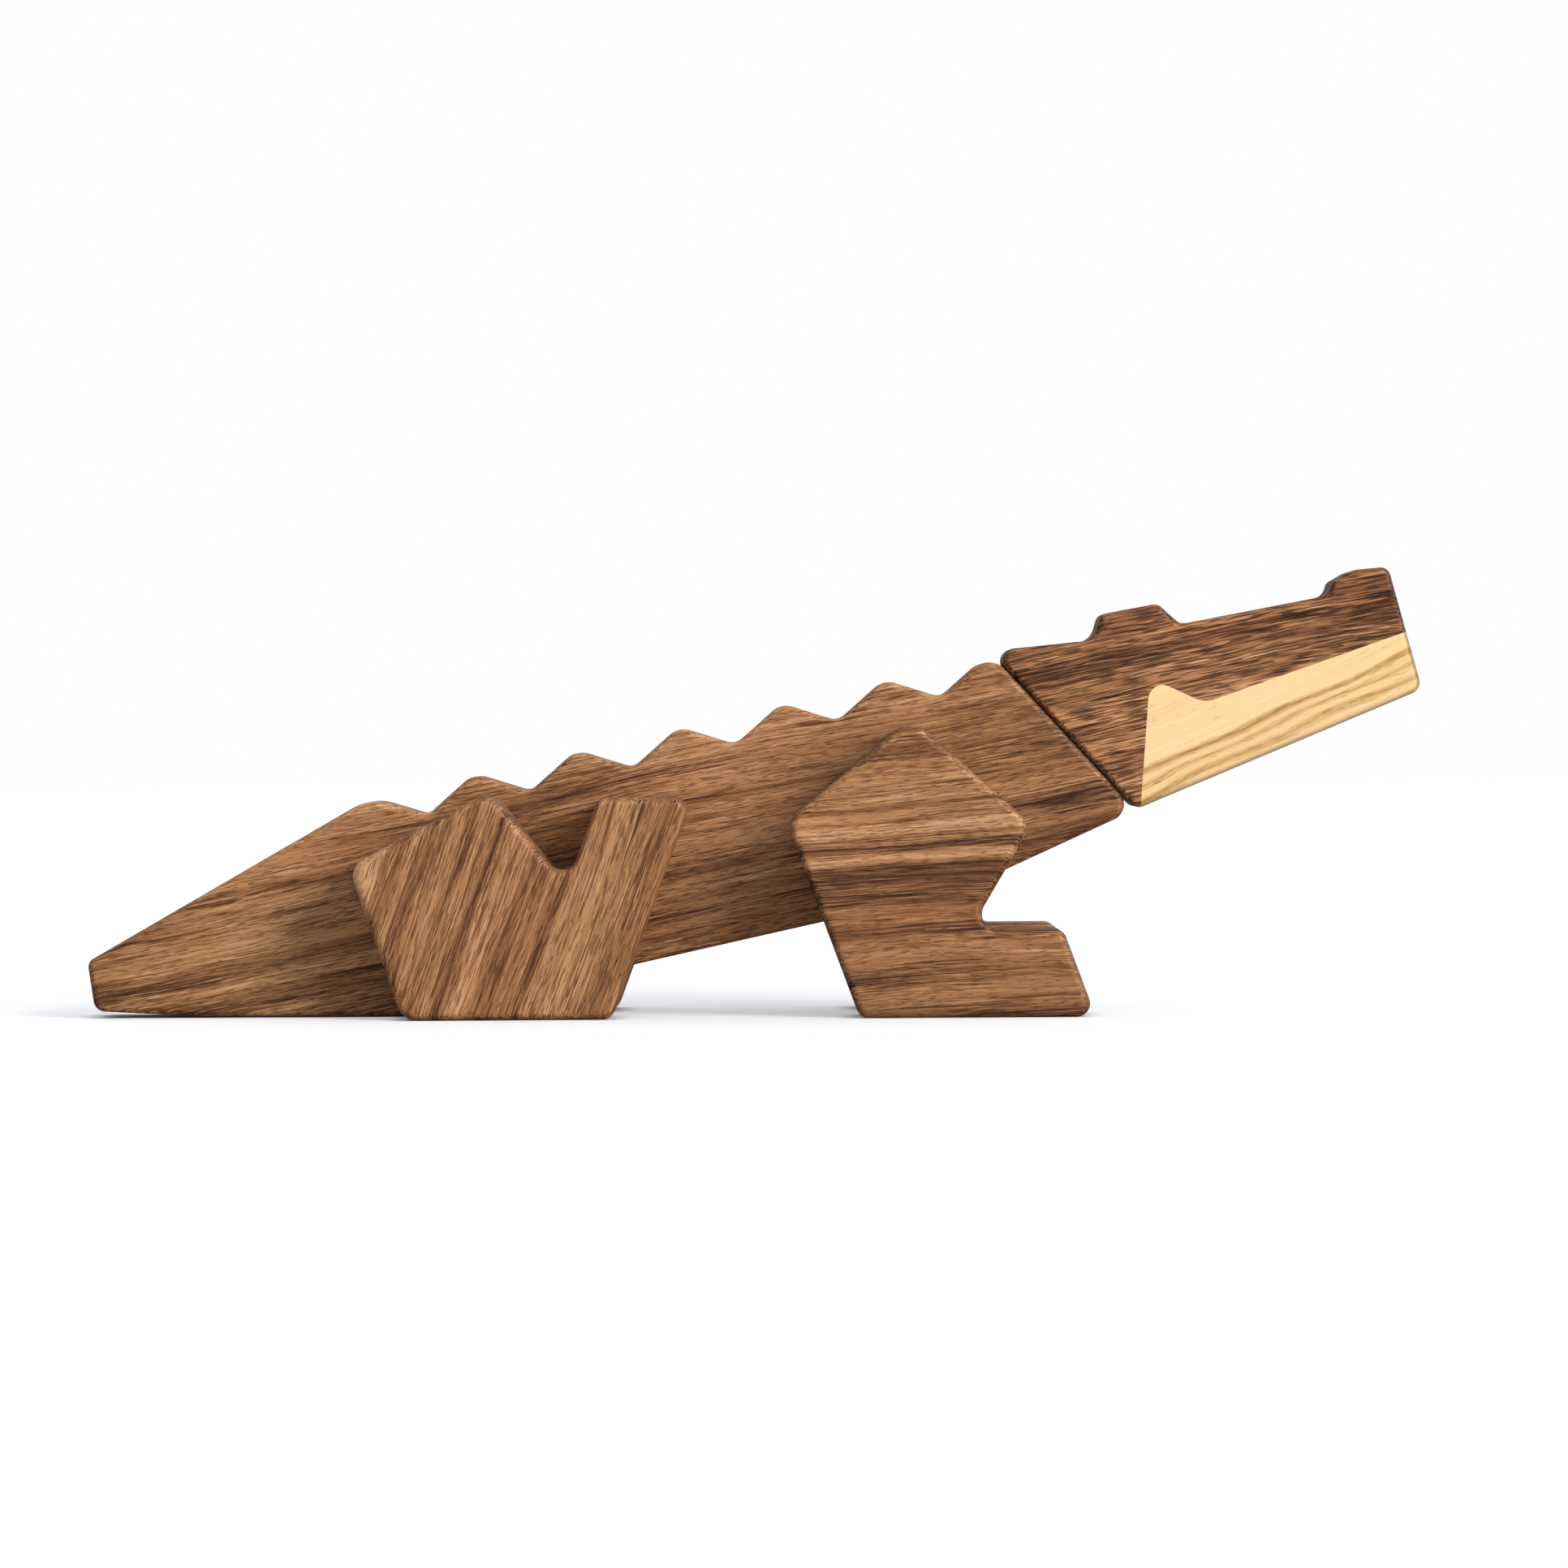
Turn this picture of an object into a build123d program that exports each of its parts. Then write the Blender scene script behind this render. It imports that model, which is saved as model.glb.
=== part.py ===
from build123d import *
from math import atan2, cos, degrees, hypot, radians, sin
import os

# A wooden crocodile figure. Flat boards hold together, and swivel, on disc magnets that are sunk
# into their mating faces behind flush wooden plugs.
# +X points to the snout, +Y across the boards and +Z up. The origin is on the ground, at the middle
# of the figure's length and width. Millimetres throughout. The crocodile's right side is at -Y.

# ---------------------------------------------------------------- driving dimensions
board_thickness = 20.0
seat_gap = 0.1  # air between two boards that a pair of magnets pulls together
body_round_over = 1.8
leg_round_over = 2.0
head_round_over = 1.6

magnet_radius = 6.0
magnet_height = 4.0
magnet_chamfer = 0.3
turning_clearance = 0.1  # round a magnet that its board turns on
plug_height = 2.5
plug_chamfer = 0.2

# Back: identical scutes, each with a steep side towards the tail and a gentle one towards the head.
scute_count = 6
scute_pitch = 26.0
back_rise = 12.6  # degrees
first_valley = (46.3, 78.0)
crest_offset = (-14.0, 4.4)  # from a valley to the crest behind it
valley_radius = 4.0
crest_radius = 5.0
tail_crest_radius = 11.0  # the last crest runs softly into the tail

# Neck: the flat end face that the head sits against.
chest_corner = (94.2, 49.9)
neck_top = (58.6, 88.9)

# Legs: one outline used four times, turned about its magnet.
front_pivot_x = 37.8
hind_pivot_x = -75.4
sole_drop = 47.8  # from the magnet's centre down to the sole of a front leg
heel_x = -12.2
knee = (-29.8, -0.1)
leg_top_radius = 5.0
foot_radius = 3.2
notch_radius = 3.8

# ---------------------------------------------------------------- derived dimensions
half_board = board_thickness / 2
pocket_radius = magnet_radius + turning_clearance
pocket_depth = plug_height + magnet_height + 2 * turning_clearance
neck_rise = neck_top[1] - chest_corner[1]
neck_run = chest_corner[0] - neck_top[0]
neck_face_length = hypot(neck_run, neck_rise)
neck_normal = (neck_rise / neck_face_length, 0, neck_run / neck_face_length)
neck_middle = ((chest_corner[0] + neck_top[0]) / 2, 0, (chest_corner[1] + neck_top[1]) / 2)

# A hind leg is a front leg turned until the edge from heel to knee lies on the ground.
back_edge_angle = atan2(knee[1] + sole_drop, knee[0] - heel_x)
hind_turn = 180 - degrees(back_edge_angle)
hind_pivot_z = -knee[0] * sin(back_edge_angle) + knee[1] * cos(back_edge_angle)

neck_plane = Plane(origin=neck_middle, x_dir=(0, 1, 0), z_dir=neck_normal)
head_seat = neck_plane.offset(seat_gap).origin
head_seat_plane = Plane(origin=head_seat, x_dir=(0, 1, 0), z_dir=-neck_plane.z_dir)

os.makedirs("parts", exist_ok=True)


# ---------------------------------------------------------------- shared features
def points(corners):
    """The sharp corners of an outline given as (x, z, corner radius)."""
    return [(x, z) for x, z, _ in corners]


def round_corners(sketch, corners):
    """Round each corner of the open sketch to its own radius."""
    for x, z, radius in corners:
        corner = sketch.vertices().sort_by_distance((x, z))[0]
        fillet(corner, radius)


def cut_pocket(mouth):
    """Drill a magnet pocket into the open part; mouth looks out of the board."""
    with Locations(mouth):
        Hole(pocket_radius, depth=pocket_depth)


def make_magnet(mouth, label):
    """A nickel-plated disc magnet, lying in a pocket under its plug."""
    with BuildPart() as magnet:
        with BuildSketch(mouth.offset(-plug_height - turning_clearance)):
            Circle(magnet_radius)
        extrude(amount=-magnet_height)
        chamfer(magnet.edges().filter_by(GeomType.CIRCLE), magnet_chamfer)
    save(magnet, label)


def make_plug(mouth, label):
    """A wooden disc glued into a pocket's mouth, flush with the board."""
    with BuildPart() as plug:
        with BuildSketch(mouth):
            Circle(pocket_radius)
        extrude(amount=-plug_height)
        rim = plug.edges().filter_by(GeomType.CIRCLE).sort_by_distance(mouth.origin)[0]
        chamfer(rim, plug_chamfer)
    save(plug, label)


def save(piece, label):
    """Name a finished piece and write it as the node of that name."""
    piece.part.label = label
    export_step(piece.part, f"parts/{label}.step")


# ---------------------------------------------------------------- body
def back_corners():
    """Scute valleys and crests, from the neck down to the root of the tail."""
    corners = []
    for number in range(scute_count):
        x = first_valley[0] - number * scute_pitch * cos(radians(back_rise))
        z = first_valley[1] - number * scute_pitch * sin(radians(back_rise))
        last = number == scute_count - 1
        corners.append((x, z, valley_radius))
        crest = (x + crest_offset[0], z + crest_offset[1])
        corners.append((*crest, tail_crest_radius if last else crest_radius))
    return corners


def side_plane(x, z, side):
    """Plane on a side face of the body at (x, z), looking out of the board."""
    if side == "left":
        return Plane(origin=(x, half_board, z), x_dir=(1, 0, 0), z_dir=(0, 1, 0))
    return Plane(origin=(x, -half_board, z), x_dir=(1, 0, 0), z_dir=(0, -1, 0))


leg_places = {
    "front": (front_pivot_x, sole_drop, 0.0),
    "hind": (hind_pivot_x, hind_pivot_z, hind_turn),
}

body_corners = [
    (*neck_top, 6.0),
    *back_corners(),
    (-164.7, 13.9, 2.4),  # blunt tip of the tail, top
    (-162.9, 1.7, 3.0),  # and bottom
    (-136.0, 0.3, 60.0),
    (-86.2, 0.0, 20.0),  # lowest point, hidden behind the hind legs
    (50.5, 30.1, 20.0),  # belly meets chest, hidden behind the front legs
    (*chest_corner, 4.2),
]

with BuildPart() as body_board:
    with BuildSketch(Plane.XZ) as body_outline:
        with BuildLine():
            Polyline(points(body_corners), close=True)
        make_face()
        round_corners(body_outline, body_corners)
    extrude(amount=half_board, both=True)
    fillet(body_board.faces().filter_by(Axis.Y).edges(), body_round_over)
    cut_pocket(neck_plane)
    for pivot_x, pivot_z, _ in leg_places.values():
        for side in ("right", "left"):
            cut_pocket(side_plane(pivot_x, pivot_z, side))
save(body_board, "body_board")

make_magnet(neck_plane, "neck_magnet")
make_plug(neck_plane, "neck_plug")

# ---------------------------------------------------------------- legs
leg_corners = [
    (0.8, 25.0, leg_top_radius),
    (29.9, -1.0, leg_top_radius),
    (14.8, -26.5, notch_radius),  # notch over the foot
    (37.4, -26.5, foot_radius),
    (45.2, -sole_drop, foot_radius),  # toe
    (heel_x, -sole_drop, foot_radius),
    (*knee, leg_top_radius),
]


def make_leg(name, pivot_x, pivot_z, turn, side):
    """One leg board with its magnet and plug, and the magnet and plug that face it in the body."""
    body_mouth = side_plane(pivot_x, pivot_z, side)
    outward = 1 if side == "left" else -1
    inner_face_y = outward * (half_board + seat_gap)
    rise = (cos(radians(turn)), 0, sin(radians(turn)))
    outline_plane = Plane(origin=(pivot_x, inner_face_y, pivot_z), x_dir=rise, z_dir=(0, -1, 0))
    leg_mouth = Plane(origin=outline_plane.origin, x_dir=(1, 0, 0), z_dir=(0, -outward, 0))
    with BuildPart() as leg:
        with BuildSketch(outline_plane) as leg_outline:
            with BuildLine():
                Polyline(points(leg_corners), close=True)
            make_face()
            round_corners(leg_outline, leg_corners)
        extrude(amount=-outward * board_thickness)
        fillet(leg.faces().filter_by(Axis.Y).edges(), leg_round_over)
        cut_pocket(leg_mouth)
    save(leg, f"{name}_leg")
    make_magnet(leg_mouth, f"{name}_leg_magnet")
    make_plug(leg_mouth, f"{name}_leg_plug")
    make_magnet(body_mouth, f"{name}_body_magnet")
    make_plug(body_mouth, f"{name}_body_plug")


for end, (pivot_x, pivot_z, turn) in leg_places.items():
    for side in ("right", "left"):
        make_leg(f"{end}_{side}", pivot_x, pivot_z, turn, side)

# ---------------------------------------------------------------- head
seat_shift = (seat_gap * neck_normal[0], seat_gap * neck_normal[2])

head_corners = [
    (neck_top[0] - 0.3 + seat_shift[0], neck_top[1] + 0.33 + seat_shift[1], 3.0),
    (chest_corner[0] + seat_shift[0], chest_corner[1] + seat_shift[1], 3.0),
    (165.05, 79.2, 3.0),  # front of the lower jaw
    (156.8, 109.5, 2.5),  # tip of the snout
    (147.9, 108.7, 8.0),
    (143.1, 105.9, 1.8),  # nostril bump, steep towards the eye
    (142.1, 102.5, 3.6),
    (105.4, 95.6, 3.5),
    (99.9, 100.7, 2.6),  # eye bump, steep towards the neck
    (85.9, 98.2, 2.2),
    (84.0, 91.8, 4.5),
]

# The light jaw wood lies below and in front of this seam; the other corners are outside the head.
jaw_seam_top = (97.8, 82.4)
jaw_seam_dip = (111.3, 76.2)

with BuildPart() as head_blank:
    with BuildSketch(Plane.XZ) as head_outline:
        with BuildLine():
            Polyline(points(head_corners), close=True)
        make_face()
        round_corners(head_outline, head_corners)
    extrude(amount=half_board, both=True)
    fillet(head_blank.faces().filter_by(Axis.Y).edges(), head_round_over)

with BuildPart() as jaw_region:
    with BuildSketch(Plane.XZ) as jaw_outline:
        with BuildLine():
            Polyline((94.6, 40.0), jaw_seam_top, jaw_seam_dip, (172.0, 97.2), (172.0, 40.0), close=True)
        make_face()
        round_corners(jaw_outline, [(*jaw_seam_top, 3.5), (*jaw_seam_dip, 6.5)])
    extrude(amount=board_thickness, both=True)

with BuildPart() as head_upper:
    add(head_blank)
    add(jaw_region, mode=Mode.SUBTRACT)
    cut_pocket(head_seat_plane)
save(head_upper, "head_upper")

with BuildPart() as lower_jaw:
    add(head_blank)
    add(jaw_region, mode=Mode.INTERSECT)
save(lower_jaw, "lower_jaw")

make_magnet(head_seat_plane, "head_magnet")
make_plug(head_seat_plane, "head_plug")
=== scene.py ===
import math

import bpy
from mathutils import Matrix, Vector


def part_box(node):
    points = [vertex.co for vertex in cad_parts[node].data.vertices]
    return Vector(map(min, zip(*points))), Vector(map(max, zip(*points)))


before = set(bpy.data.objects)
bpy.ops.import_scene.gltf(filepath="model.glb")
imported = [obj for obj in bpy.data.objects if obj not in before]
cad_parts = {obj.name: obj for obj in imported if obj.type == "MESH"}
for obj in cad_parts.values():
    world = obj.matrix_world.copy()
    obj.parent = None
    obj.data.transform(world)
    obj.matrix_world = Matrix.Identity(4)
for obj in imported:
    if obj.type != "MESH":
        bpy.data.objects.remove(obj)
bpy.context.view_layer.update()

# A wooden crocodile figure: the woods and metal of its CAD pieces, the floor, the light and the
# camera. Metres, in the frame's own axes: +X to the snout, +Y across the boards and +Z up.

MM = 0.001

# ---------------------------------------------------------------- camera, light and floor
CAMERA_PLACE = (0.0075, -1.33, 0.070)
CAMERA_PITCH = -0.573  # degrees, looking slightly down
CAMERA_ROLL = -0.35
CAMERA_LENS = 122.98
CAMERA_SENSOR = 36.0
CAMERA_CLIP = (0.05, 50.0)

# The studio is a white room, brighter overhead and towards +X, plus one large soft light.
ROOM_BASE = 0.62
ROOM_OVERHEAD = 0.34
ROOM_SIDE = 0.20
KEY_STRENGTH = 3.0
KEY_SPREAD = 24.0  # degrees across the soft light, as seen from the figure
KEY_AZIMUTH = 52.0  # to the right of the camera
KEY_ELEVATION = 24.0

FLOOR_WHITE = (0.562, 0.569, 0.583)
FLOOR_BOUNCE = (0.40, 0.40, 0.41)  # for the light it throws up; darker, so that undersides keep their shade
# Camera-only painted light on the floor: the glow lifts the shade on the floor, and it fades near the figure
# to paint a dark contact shadow under the soles.
FLOOR_GLOW = (0.355, 0.365, 0.382)  # keeps the shade on the floor faint and cool
CONTACT_REACH = 0.005  # the glow fades this close to the figure, which leaves a dark line under the soles
CONTACT_SAMPLES = 4
FLOOR_ROUGHNESS = 0.7
FLOOR_HALF = 6.0
FLOOR_DROP = 0.00005  # below the soles, so that the two faces don't fight

# ---------------------------------------------------------------- kinds of wood, and nickel
# Lengths are in millimetres, and tones run from 0, the darkest, to 1, the palest.
#   tones        the colour at each tone
#   waver        how far the rings wander, in wide swings and in narrow ones
#   streak       stripes along the grain: length, width, depth in tone
#   line         thin dark lines: length, spacing, depth in tone
#   fibre        the finest stripes: length, width, depth in tone
#   pore         dark dashes: length, width
#   pore_share   the noise value at which a pore begins and the one at which it is full
#   pore_shade   how much darker a pore is
#   ring_pores   how far the pores keep to the dark rings
#   drift        the slow change of hue, as a factor on each channel
#   end_range    how squarely a face has to cut the grain to begin to darken, and to be as dark as it gets
#   end_shade    the factor on the colour of end grain
#   edge_wear_and_shade     how much paler the round-overs are, as sanding wear; below 0 they are darker, as painted shade
#   relief       the depth of the pores
WALNUT = {
    "tones": (
        (0.00, (0.044, 0.011, 0.003)),
        (0.25, (0.138, 0.050, 0.015)),
        (0.50, (0.278, 0.120, 0.045)),
        (0.75, (0.420, 0.209, 0.090)),
        (1.00, (0.556, 0.305, 0.158)),
    ),
    "waver": (7.0, 1.1),
    "streak": (60.0, 1.25, 0.34),
    "line": (130.0, 3.6, 0.30),
    "fibre": (18.0, 0.34, 0.70),
    "pore": (3.4, 0.28),
    "pore_share": (0.54, 0.64),
    "pore_shade": 0.50,
    "ring_pores": 0.0,
    "drift": (0.985, 1.012, 1.0),
    "end_range": (0.20, 0.90),
    "end_shade": 0.62,
    "edge_wear_and_shade": 0.05,
    "roughness": 0.52,
    "specular": 0.25,
    "relief": 0.05,
}
HEAD_WALNUT = {
    **WALNUT,
    "tones": (
        (0.00, (0.044, 0.010, 0.002)),
        (0.25, (0.136, 0.045, 0.014)),
        (0.50, (0.290, 0.117, 0.044)),
        (0.75, (0.438, 0.207, 0.085)),
        (1.00, (0.582, 0.305, 0.146)),
    ),
    "waver": (6.0, 1.6),
    "streak": (50.0, 1.9, 0.30),
    "line": (60.0, 3.0, 0.26),
    "fibre": (12.0, 0.40, 0.86),
    "pore": (7.0, 0.40),
    "pore_share": (0.50, 0.56),
    "pore_shade": 0.70,
    # The wider end-grain range also darkens the head's rounded edge at the neck: partly end grain, partly
    # painted shade in the groove there.
    "end_range": (0.08, 0.60),
    "end_shade": 0.58,
}
ASH = {
    **WALNUT,
    "tones": (
        (0.00, (0.378, 0.194, 0.055)),
        (0.30, (0.578, 0.342, 0.123)),
        (0.60, (0.788, 0.536, 0.251)),
        (1.00, (0.914, 0.664, 0.350)),
    ),
    "waver": (9.0, 4.4),
    "streak": (120.0, 3.4, 0.20),
    "line": (160.0, 5.0, 0.10),
    "fibre": (20.0, 0.36, 0.28),
    "pore": (5.0, 0.34),
    "pore_share": (0.57, 0.68),
    "pore_shade": 0.27,
    "ring_pores": 0.36,
    "drift": (1.0, 1.01, 0.98),
    "end_range": (0.10, 0.70),
    # painted shade: the jaw's round-overs are darker, as its lower and right edges look in shade
    "edge_wear_and_shade": -0.45,
    "roughness": 0.46,
}

# Common to all the woods. Each noise has a size, in millimetres along, through and across the grain.
RING_SLANT = 0.55  # how far the rings move across for each millimetre through the board
STREAK_THROUGH = 10  # times as wide through the board as across it
FIBRE_THROUGH = 2
STREAK_NOISE_ROUGHNESS = 0.65  # how strong the finer detail of each noise is
FIBRE_NOISE_ROUGHNESS = 0.6
PORE_NOISE_ROUGHNESS = 0.4
SWAY_SIZE = (120.0, 50.0, 45.0)
RIPPLE_SIZE = (34.0, 10.0, 9.0)
LINE_FADE = (0.004, 0.032)  # how far the noise is from its middle value, in a line's core and at its edge
BREAK_SIZE = (14.0, 4.0, 1.2)  # the thin lines are broken up
BREAK_FADE = (0.40, 0.58)
BUSY_SIZE = (30.0, 12.0, 3.2)  # the fibres are fainter in some places than in others
BUSY_FADE = (0.36, 0.62)
BUSY_CONTRAST = (0.35, 1.7)
DRIFT_SIZE = (90.0, 30.0, 22.0)
DRIFT_FADE = (0.38, 0.62)
CROWD_SIZE = (40.0, 6.0, 4.0)  # the pores crowd together in places
CROWDING = 0.16
PORE_TINT = (1.0, 0.92, 0.84)
PORE_ROUGHNESS = 0.16
FIBRE_GLOSS = 0.18
FIBRE_HEIGHT = 0.7  # beside a pore's depth of 1
END_TINT = (1.0, 0.97, 0.95)
# How far each seed shifts the wood, for what lies in the board and for what follows the rings.
BOARD_SHIFT = (37.0, 11.0, 0.0)
GRAIN_SHIFT = (53.0, 17.0, 29.0)

# Nickel plating, with sizes in millimetres.
NICKEL_COLOURS = ((0.3, (0.58, 0.56, 0.52)), (0.7, (0.74, 0.72, 0.68)))
NICKEL_ROUGHNESS = (0.18, 0.36)
NICKEL_RELIEF = 0.004
MOTTLE_SIZE = (2.2, 2.2, 2.2)
SCRATCH_SIZE = (6.0, 0.05, 0.05)
SCRATCH_RANGE = (0.3, 0.7)
SCRATCH_NOISE_ROUGHNESS = 0.7

# ---------------------------------------------------------------- rings
# Broad growth rings: (millimetres across the grain from the board's middle, tone), as they come
# out on the board's side at -Y.
BODY_RINGS = (
    (-44, 0.48), (-36, 0.42), (-29, 0.46), (-24, 0.46), (-21, 0.35), (-19, 0.35), (-16, 0.64),
    (-12, 0.36), (-8, 0.63), (-5, 0.68), (-2, 0.52), (1, 0.58), (4, 0.45), (6.5, 0.53), (9, 0.60),
    (11.5, 0.45), (14.5, 0.62), (17, 0.67), (19.5, 0.70), (23, 0.62), (28, 0.60), (36, 0.50),
)
FRONT_LEG_RINGS = (
    (-48, 0.48), (-41, 0.55), (-37, 0.42), (-34, 0.60), (-31, 0.57), (-29, 0.41), (-27.2, 0.27),
    (-25.5, 0.42), (-23, 0.46), (-21, 0.32), (-16.5, 0.34), (-15, 0.18), (-11.5, 0.22),
    (-10.6, 0.56), (-9.3, 0.95), (-7.8, 0.62), (-6.2, 0.22), (-4.6, 0.58), (-3.8, 0.42), (-2.4, 0.92),
    (-0.4, 0.84), (0.4, 0.60), (1.6, 0.70), (3.8, 0.42), (5.6, 0.69), (8, 0.60), (11, 0.67),
    (14.6, 0.60), (17, 0.35), (20, 0.45), (24, 0.40),
)
HIND_LEG_RINGS = (
    (-44, 0.47), (-38, 0.58), (-33, 0.79), (-30, 0.54), (-28, 0.64), (-26, 0.31), (-23.6, 0.62),
    (-20, 0.54), (-17, 0.36), (-14.6, 0.63), (-11, 0.82), (-8.6, 0.60), (-7, 0.30), (-5, 0.61),
    (-2.6, 0.61), (-0.6, 0.39), (2, 0.66), (5, 0.54), (8, 0.34), (10.4, 0.72), (13, 0.52),
    (14.6, 0.46), (18, 0.92), (22, 0.88), (28, 0.74),
)
HEAD_RINGS = (
    (-18, 0.60), (-15.5, 0.54), (-12, 0.54), (-8, 0.71), (-5, 0.50), (-2, 0.64), (2, 0.54), (6, 0.60),
    (9, 0.40), (12, 0.31), (15, 0.46), (18, 0.41), (22, 0.47), (26, 0.40),
)
JAW_RINGS = (
    (-26, 0.55), (-21, 0.70), (-19, 0.36), (-17.5, 0.76), (-15.6, 0.42), (-14.4, 0.73), (-12.6, 0.22),
    (-11.2, 0.82), (-7, 0.82), (0, 0.74), (3, 0.86), (14, 0.84),
)
# How the tone shifts lengthwise: (millimetres along the grain from the board's middle, shift).
EVEN = ((-100, 0.0), (100, 0.0))
# The body's run also holds painted shade: its dip at -14 darkens the board in the hind leg's notch, and its
# other shifts are partly tone along the board and partly painted light and shade that even out the lighting.
BODY_RUN_AND_SHADE = (
    (-135, -0.10), (-120, -0.06), (-92, 0.09), (-62, 0.05), (-14, -0.11), (32, 0.08), (70, 0.02),
    (100, -0.03), (118, -0.10),
)
HEAD_RUN = ((-50, 0.0), (-20, 0.02), (5, 0.09), (25, 0.03), (42, -0.06), (60, -0.09))

# ---------------------------------------------------------------- which wood lies how
# For each board, how many degrees its grain rises towards +X, and its seed. The legs' rings come first.
BODY_GRAIN = (11.0, 1.0)
HEAD_GRAIN = (11.0, 2.0)
JAW_GRAIN = (24.0, 3.0)
LEG_GRAIN = {
    "front_right": (FRONT_LEG_RINGS, 3.0, 4.0),
    "hind_right": (HIND_LEG_RINGS, 71.0, 5.0),
    "front_left": (HIND_LEG_RINGS, 2.0, 6.0),
    "hind_left": (FRONT_LEG_RINGS, 70.0, 7.0),
}
# The plugs are cut from scraps, each with its grain turned further than the last one's.
PLUG_RISE = 20.0
PLUG_RISE_STEP = 25.0
PLUG_SEED = 8.0


class Graph:
    """Node tree of a material or a world. Each call adds nodes; a value may be a node's output."""

    MIX_SOCKETS = (0, 6, 7)  # factor, A and B of a Mix node, for colours
    MIX_RESULT = 2

    def __init__(self, owner):
        owner.use_nodes = True
        self.owner = owner
        self.tree = owner.node_tree
        self.tree.nodes.clear()

    def node(self, kind, values=None, **settings):
        made = self.tree.nodes.new("ShaderNode" + kind)
        for name, setting in settings.items():
            setattr(made, name, setting)
        for key, value in (values or {}).items():
            if isinstance(value, bpy.types.NodeSocket):
                self.tree.links.new(value, made.inputs[key])
            else:
                made.inputs[key].default_value = value
        return made

    def maths(self, operation, *values):
        return self.node("Math", dict(enumerate(values)), operation=operation).outputs[0]

    def vector(self, operation, *values):
        made = self.node("VectorMath", dict(enumerate(values)), operation=operation)
        return made.outputs["Value" if operation == "DOT_PRODUCT" else "Vector"]

    def scaled(self, vector, factor):
        values = {"Vector": vector, "Scale": factor}
        return self.node("VectorMath", values, operation="SCALE").outputs["Vector"]

    def noise(self, vector, size, detail=2.0, roughness=0.5):
        """Smooth noise around 0.5 whose lumps measure size = (x, y, z) in the vector's own unit."""
        squeezed = self.vector("DIVIDE", vector, size)
        values = {"Vector": squeezed, "Scale": 1.0, "Detail": detail, "Roughness": roughness}
        return self.node("TexNoise", values).outputs["Fac"]

    def swing(self, base, noise, depth):
        """The base, moved by depth times the noise's distance from its middle value."""
        return self.maths("MULTIPLY_ADD", self.maths("SUBTRACT", noise, 0.5), depth, base)

    def spread(self, value, old, new, smooth=False):
        values = {
            "Value": value, "From Min": old[0], "From Max": old[1], "To Min": new[0], "To Max": new[1],
        }
        kind = "SMOOTHSTEP" if smooth else "LINEAR"
        return self.node("MapRange", values, interpolation_type=kind).outputs["Result"]

    def fade(self, value, limits):
        """0 below the limits and 1 above them, with a smooth step between."""
        return self.spread(value, limits, (0.0, 1.0), smooth=True)

    def ramp(self, value, stops, interpolation="LINEAR"):
        made = self.node("ValToRGB", {"Fac": value})
        made.color_ramp.interpolation = interpolation
        elements = made.color_ramp.elements
        elements[0].position = stops[0][0]
        elements[-1].position = stops[-1][0]
        for position, _ in stops[1:-1]:
            elements.new(position)
        for element, (_, colour) in zip(elements, stops):
            element.color = (*colour, 1.0)
        return made.outputs["Color"]

    def profile(self, value, points, base=0.0):
        """A level between 0 and 1 for each value, eased between points = (value, level over base)."""
        low, high = points[0][0], points[-1][0]
        stops = [((place - low) / (high - low), (base + level,) * 3) for place, level in points]
        return self.ramp(self.spread(value, (low, high), (0.0, 1.0)), stops, "EASE")

    def tint(self, share, colour, factor):
        """The colour, multiplied by factor where share is 1."""
        if not isinstance(factor, bpy.types.NodeSocket):
            factor = (*factor, 1.0)
        values = dict(zip(self.MIX_SOCKETS, (share, colour, factor)))
        return self.node("Mix", values, data_type="RGBA", blend_type="MULTIPLY").outputs[self.MIX_RESULT]

    def finish(self, colour, roughness, height, relief, uniform):
        """The surface itself. Uniform values go straight on the shader's own sockets."""
        bump = self.node("Bump", {"Height": height, "Strength": 1.0, "Distance": relief * MM})
        values = {"Base Color": colour, "Roughness": roughness, "Normal": bump.outputs["Normal"], **uniform}
        shader = self.node("BsdfPrincipled", values)
        self.node("OutputMaterial", {"Surface": shader.outputs["BSDF"]})
        return self.owner


def new_material(name):
    return Graph(bpy.data.materials.new(name))


# ---------------------------------------------------------------- wood and metal
def grain_places(g, place, look, middle, rise, seed):
    """Where a point lies in the board, and along and in the grain, in millimetres."""
    local = g.vector("SUBTRACT", place, middle)
    turned = g.node("VectorRotate", {"Vector": local, "Angle": math.radians(rise)}, rotation_type="Y_AXIS")
    fibre = g.scaled(turned.outputs["Vector"], 1 / MM)  # along, through and across the grain
    board = g.vector("ADD", fibre, tuple(seed * shift for shift in BOARD_SHIFT))
    sway = g.noise(board, SWAY_SIZE, detail=1.0)
    ripple = g.noise(board, RIPPLE_SIZE, detail=1.0)

    along, through, across = g.node("SeparateXYZ", {"Vector": fibre}).outputs
    wide, narrow = look["waver"]
    across = g.maths("MULTIPLY_ADD", through, RING_SLANT, across)
    across = g.swing(across, sway, wide)
    across = g.swing(across, ripple, narrow)
    grain = g.node("CombineXYZ", {"X": along, "Y": through, "Z": across}).outputs["Vector"]
    grain = g.vector("ADD", grain, tuple(seed * shift for shift in GRAIN_SHIFT))
    return board, along, across, grain


def thin_lines(g, grain, length, spacing):
    """1 on thin lines along the grain, which are broken up, and 0 between them."""
    contour = g.noise(grain, (length, spacing * STREAK_THROUGH, spacing), detail=1.0)
    contour = g.maths("ABSOLUTE", g.maths("SUBTRACT", contour, 0.5))
    lines = g.spread(contour, LINE_FADE, (1.0, 0.0), smooth=True)
    return g.maths("MULTIPLY", lines, g.fade(g.noise(grain, BREAK_SIZE, detail=1.0), BREAK_FADE))


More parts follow.
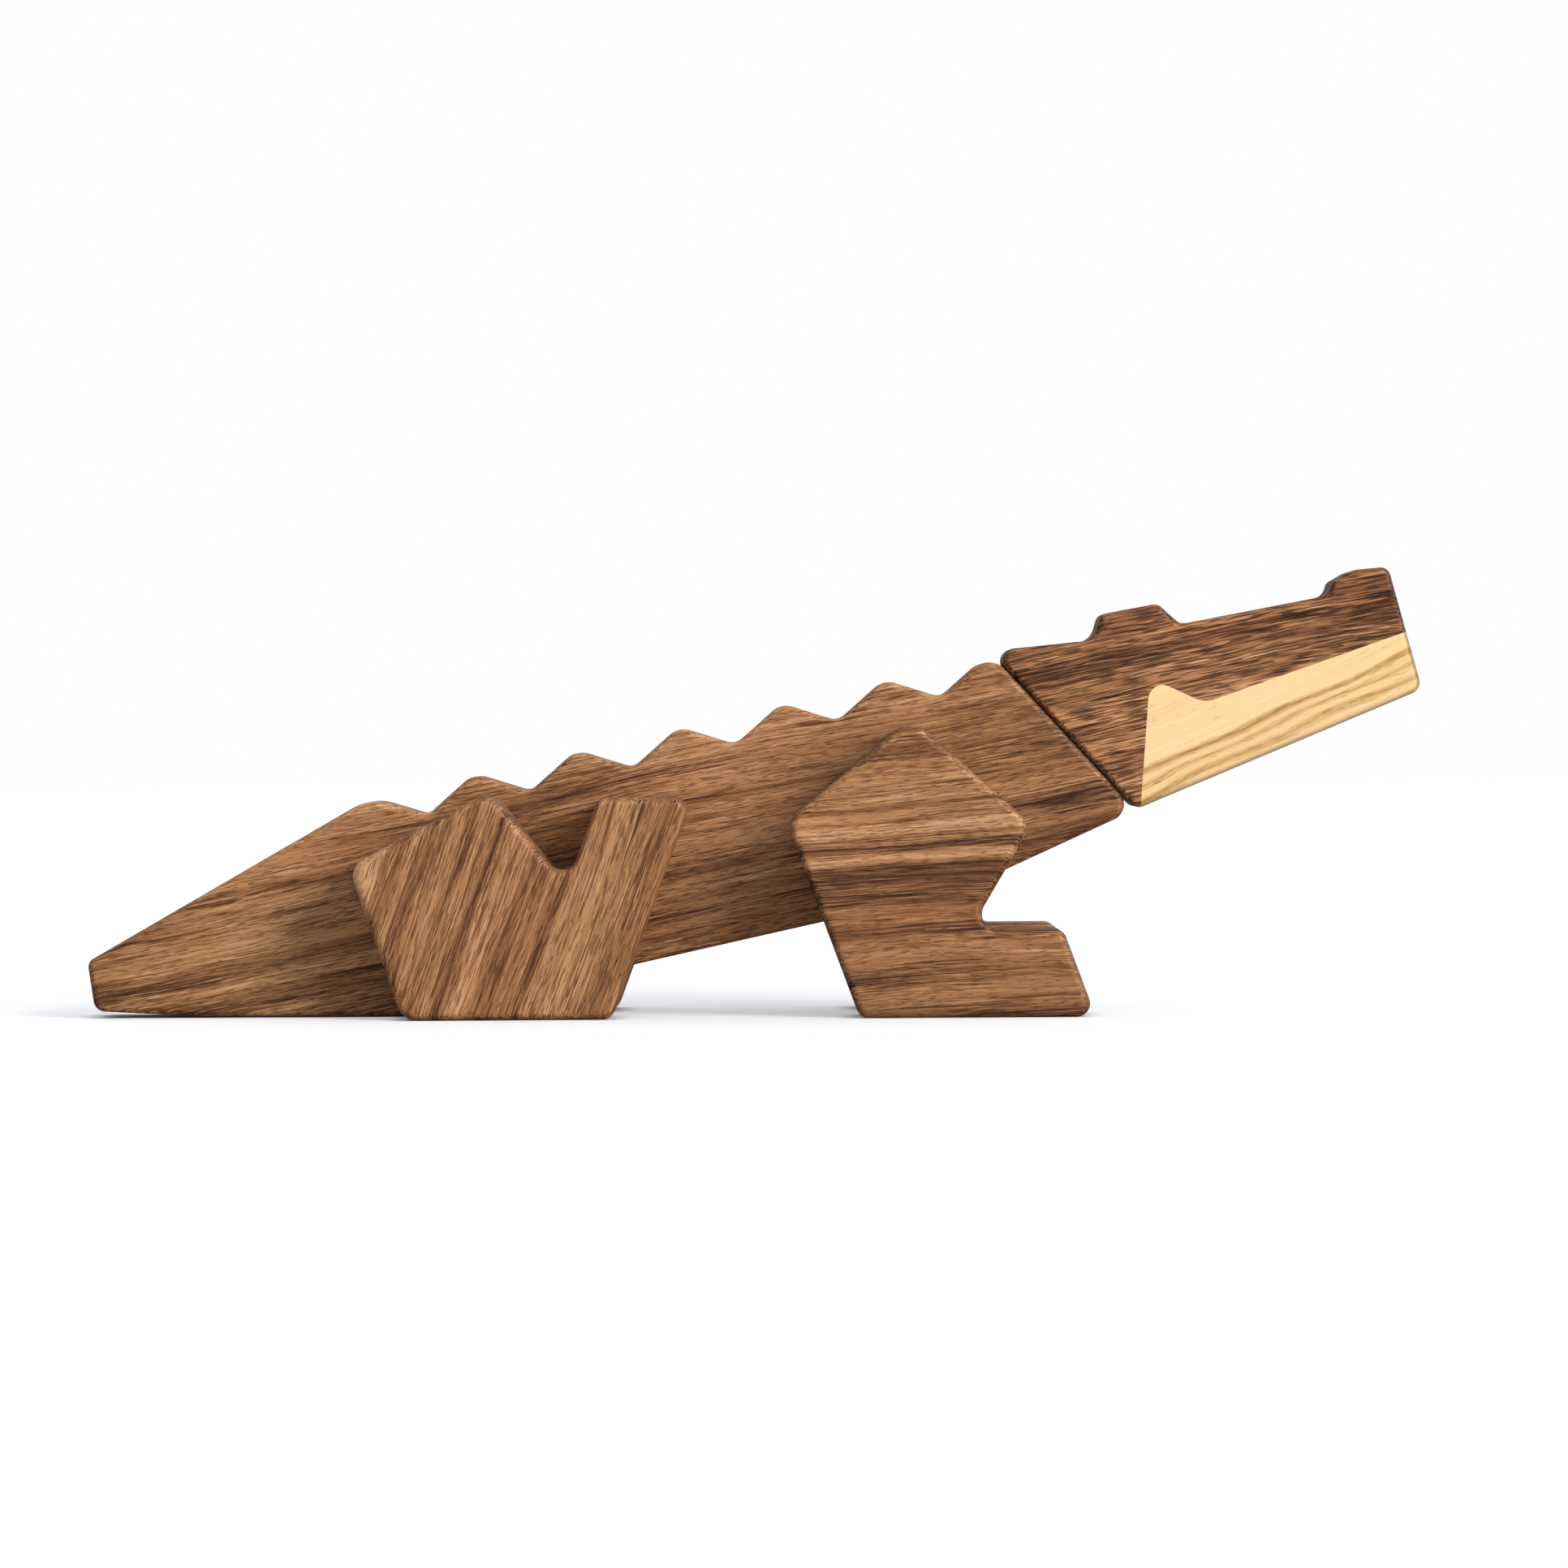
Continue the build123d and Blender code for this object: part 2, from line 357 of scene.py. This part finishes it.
def wood(name, look, rings, middle, rise, seed, run=EVEN):
    """Solid wood whose grain rises by rise degrees towards +X, round the point middle.

    The rings lean through the board's thickness, so they show on every face, and on the end grain,
    as they would in one piece of timber. The run shifts the tone along the grain.
    """
    g = new_material(name)
    coordinates = g.node("TexCoord")
    place, normal = coordinates.outputs["Object"], coordinates.outputs["Normal"]
    board, along, across, grain = grain_places(g, place, look, middle, rise, seed)

    # Tone: rings, streaks, thin lines, fibres and the run.
    broad = g.profile(across, rings)
    length, width, depth = look["streak"]
    streaks = g.noise(grain, (length, width * STREAK_THROUGH, width), roughness=STREAK_NOISE_ROUGHNESS)
    tone = g.swing(broad, streaks, depth * 2)
    length, spacing, depth = look["line"]
    tone = g.maths("MULTIPLY_ADD", thin_lines(g, grain, length, spacing), -depth, tone)
    length, width, depth = look["fibre"]
    fibres = g.noise(grain, (length, width * FIBRE_THROUGH, width), roughness=FIBRE_NOISE_ROUGHNESS)
    busy = g.spread(g.noise(grain, BUSY_SIZE, detail=1.0), BUSY_FADE, BUSY_CONTRAST)
    contrast = g.maths("MULTIPLY", g.maths("SUBTRACT", fibres, 0.5), busy)
    tone = g.maths("MULTIPLY_ADD", contrast, depth * 2, tone)
    # For the body this also paints shade, darkest in the hind leg's notch.
    lengthwise = g.profile(along, run, base=0.5)
    tone = g.maths("ADD", tone, g.maths("SUBTRACT", lengthwise, 0.5))

    # Colour: by tone, with a slow drift in hue.
    colour = g.ramp(tone, look["tones"])
    cool = look["drift"]
    warm = tuple(2 - channel for channel in cool)
    drift = g.noise(board, DRIFT_SIZE, detail=1.0)
    colour = g.tint(1.0, colour, g.ramp(drift, ((DRIFT_FADE[0], warm), (DRIFT_FADE[1], cool))))

    # Pores are short dark dashes, which crowd together in places and may keep to the dark rings.
    length, width = look["pore"]
    dashes = g.noise(grain, (length, width, width), detail=1.0, roughness=PORE_NOISE_ROUGHNESS)
    dashes = g.swing(dashes, g.noise(grain, CROWD_SIZE, detail=1.0), CROWDING)
    dashes = g.swing(dashes, broad, -look["ring_pores"])
    pores = g.fade(dashes, look["pore_share"])
    colour = g.tint(pores, colour, tuple((1 - look["pore_shade"]) * channel for channel in PORE_TINT))

    # End grain drinks more oil and looks darker. The round-overs are paler from sanding wear where
    # edge_wear_and_shade is above 0, and darker with painted shade where it is below 0.
    grain_way = (math.cos(math.radians(rise)), 0.0, math.sin(math.radians(rise)))
    end_grain = g.maths("ABSOLUTE", g.vector("DOT_PRODUCT", normal, grain_way))
    end_grain = g.fade(end_grain, look["end_range"])
    colour = g.tint(end_grain, colour, tuple(look["end_shade"] * channel for channel in END_TINT))
    facing = g.maths("ABSOLUTE", g.vector("DOT_PRODUCT", normal, (0.0, 1.0, 0.0)))
    on_edge = g.maths("MULTIPLY", facing, g.maths("SUBTRACT", 1.0, facing))
    on_edge = g.maths("MULTIPLY", on_edge, 4.0)  # 1 where a round-over is half way round
    colour = g.tint(on_edge, colour, (1 + look["edge_wear_and_shade"],) * 3)

    roughness = g.maths("MULTIPLY_ADD", pores, PORE_ROUGHNESS, look["roughness"])
    roughness = g.swing(roughness, fibres, -FIBRE_GLOSS)
    height = g.maths("MULTIPLY_ADD", pores, -1.0, g.maths("MULTIPLY", fibres, FIBRE_HEIGHT))
    return g.finish(colour, roughness, height, look["relief"], {"Specular IOR Level": look["specular"]})


def nickel(name):
    """Nickel plating: faint mottling, with fine scratches."""
    g = new_material(name)
    place = g.scaled(g.node("TexCoord").outputs["Object"], 1 / MM)
    mottle = g.noise(place, MOTTLE_SIZE, detail=3.0)
    scratches = g.noise(place, SCRATCH_SIZE, roughness=SCRATCH_NOISE_ROUGHNESS)
    colour = g.ramp(mottle, NICKEL_COLOURS)
    roughness = g.spread(scratches, SCRATCH_RANGE, NICKEL_ROUGHNESS)
    return g.finish(colour, roughness, scratches, NICKEL_RELIEF, {"Metallic": 1.0})


def near_middle(*nodes, board=None):
    """Middle of the box round these nodes at rest, moved to the -Y side of the board."""
    corners = [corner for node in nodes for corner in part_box(node)]
    low = Vector(map(min, *corners))
    high = Vector(map(max, *corners))
    middle = (low + high) / 2
    return middle.x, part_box(board or nodes[0])[0].y, middle.z


def paint(node, material):
    """Gives a CAD node one material in place of its plain one."""
    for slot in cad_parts[node].material_slots:
        slot.material = material


# ---------------------------------------------------------------- finishes
body_middle = near_middle("body_board")
head_middle = near_middle("head_upper", "lower_jaw")
paint("body_board", wood("walnut_body", WALNUT, BODY_RINGS, body_middle, *BODY_GRAIN, run=BODY_RUN_AND_SHADE))
paint("head_upper", wood("walnut_head", HEAD_WALNUT, HEAD_RINGS, head_middle, *HEAD_GRAIN, run=HEAD_RUN))
paint("lower_jaw", wood("ash_jaw", ASH, JAW_RINGS, head_middle, *JAW_GRAIN))

for leg, (rings, rise, seed) in LEG_GRAIN.items():
    pivot = near_middle(f"{leg}_leg_magnet", board=f"{leg}_leg")
    paint(f"{leg}_leg", wood(f"walnut_{leg}_leg", WALNUT, rings, pivot, rise, seed))

plugs = sorted(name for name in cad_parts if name.endswith("_plug"))
for number, plug in enumerate(plugs):
    rise = PLUG_RISE + PLUG_RISE_STEP * number
    paint(plug, wood(f"walnut_{plug}", WALNUT, BODY_RINGS, near_middle(plug), rise, PLUG_SEED + number))

plating = nickel("nickel_magnet")
magnets = sorted(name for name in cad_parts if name.endswith("_magnet"))
for magnet in magnets:
    paint(magnet, plating)

# ---------------------------------------------------------------- floor
floor_mesh = bpy.data.meshes.new("floor")
sides = ((-1, -1), (1, -1), (1, 1), (-1, 1))
floor_mesh.from_pydata([(x * FLOOR_HALF, y * FLOOR_HALF, -FLOOR_DROP) for x, y in sides], [], [(0, 1, 2, 3)])
floor = bpy.data.objects.new("floor", floor_mesh)
bpy.context.scene.collection.objects.link(floor)

floor_paint = new_material("floor_white")
in_view = floor_paint.node("LightPath").outputs["Is Camera Ray"]
# painted contact shadow: the glow fades where the figure is close
painted_contact_shade = floor_paint.node("AmbientOcclusion", {"Distance": CONTACT_REACH}, samples=CONTACT_SAMPLES)
glow = floor_paint.maths("MULTIPLY", in_view, painted_contact_shade.outputs["AO"])
floor_shader = floor_paint.node("BsdfPrincipled", {
    "Base Color": floor_paint.ramp(in_view, ((0.0, FLOOR_BOUNCE), (1.0, FLOOR_WHITE))),
    "Roughness": FLOOR_ROUGHNESS,
    "Emission Color": (*FLOOR_GLOW, 1.0),
    "Emission Strength": glow,
})
floor_paint.node("OutputMaterial", {"Surface": floor_shader.outputs["BSDF"]})
floor_mesh.materials.append(floor_paint.owner)

# ---------------------------------------------------------------- light
room = Graph(bpy.data.worlds.new("white_room"))
towards = room.node("TexCoord").outputs["Generated"]
shine = room.vector("DOT_PRODUCT", towards, (ROOM_SIDE, 0.0, ROOM_OVERHEAD))
shine = room.maths("ADD", room.maths("MAXIMUM", shine, -ROOM_BASE), ROOM_BASE)
seen = room.node("LightPath").outputs["Is Camera Ray"]  # the camera sees plain white
strength = room.maths("MAXIMUM", shine, seen)
sky = room.node("Background", {"Color": (1.0, 1.0, 1.0, 1.0), "Strength": strength})
room.node("OutputWorld", {"Surface": sky.outputs["Background"]})
bpy.context.scene.world = room.owner

key_data = bpy.data.lights.new("key", "SUN")
key_data.energy = KEY_STRENGTH
key_data.angle = math.radians(KEY_SPREAD)
key = bpy.data.objects.new("key", key_data)
azimuth, elevation = math.radians(KEY_AZIMUTH), math.radians(KEY_ELEVATION)
towards_key = Vector((
    math.sin(azimuth) * math.cos(elevation),
    -math.cos(azimuth) * math.cos(elevation),
    math.sin(elevation),
))
key.rotation_mode = "QUATERNION"
key.rotation_quaternion = towards_key.to_track_quat("Z", "Y")
bpy.context.scene.collection.objects.link(key)

# ---------------------------------------------------------------- camera
camera_data = bpy.data.cameras.new("camera")
camera_data.lens = CAMERA_LENS
camera_data.sensor_width = CAMERA_SENSOR
camera_data.clip_start, camera_data.clip_end = CAMERA_CLIP
camera = bpy.data.objects.new("camera", camera_data)
pitch = Matrix.Rotation(math.radians(90.0 + CAMERA_PITCH), 4, "X")
roll = Matrix.Rotation(math.radians(CAMERA_ROLL), 4, "Z")
camera.matrix_world = Matrix.Translation(CAMERA_PLACE) @ pitch @ roll
bpy.context.scene.collection.objects.link(camera)
bpy.context.scene.camera = camera
bpy.context.scene.view_settings.view_transform = "Standard"
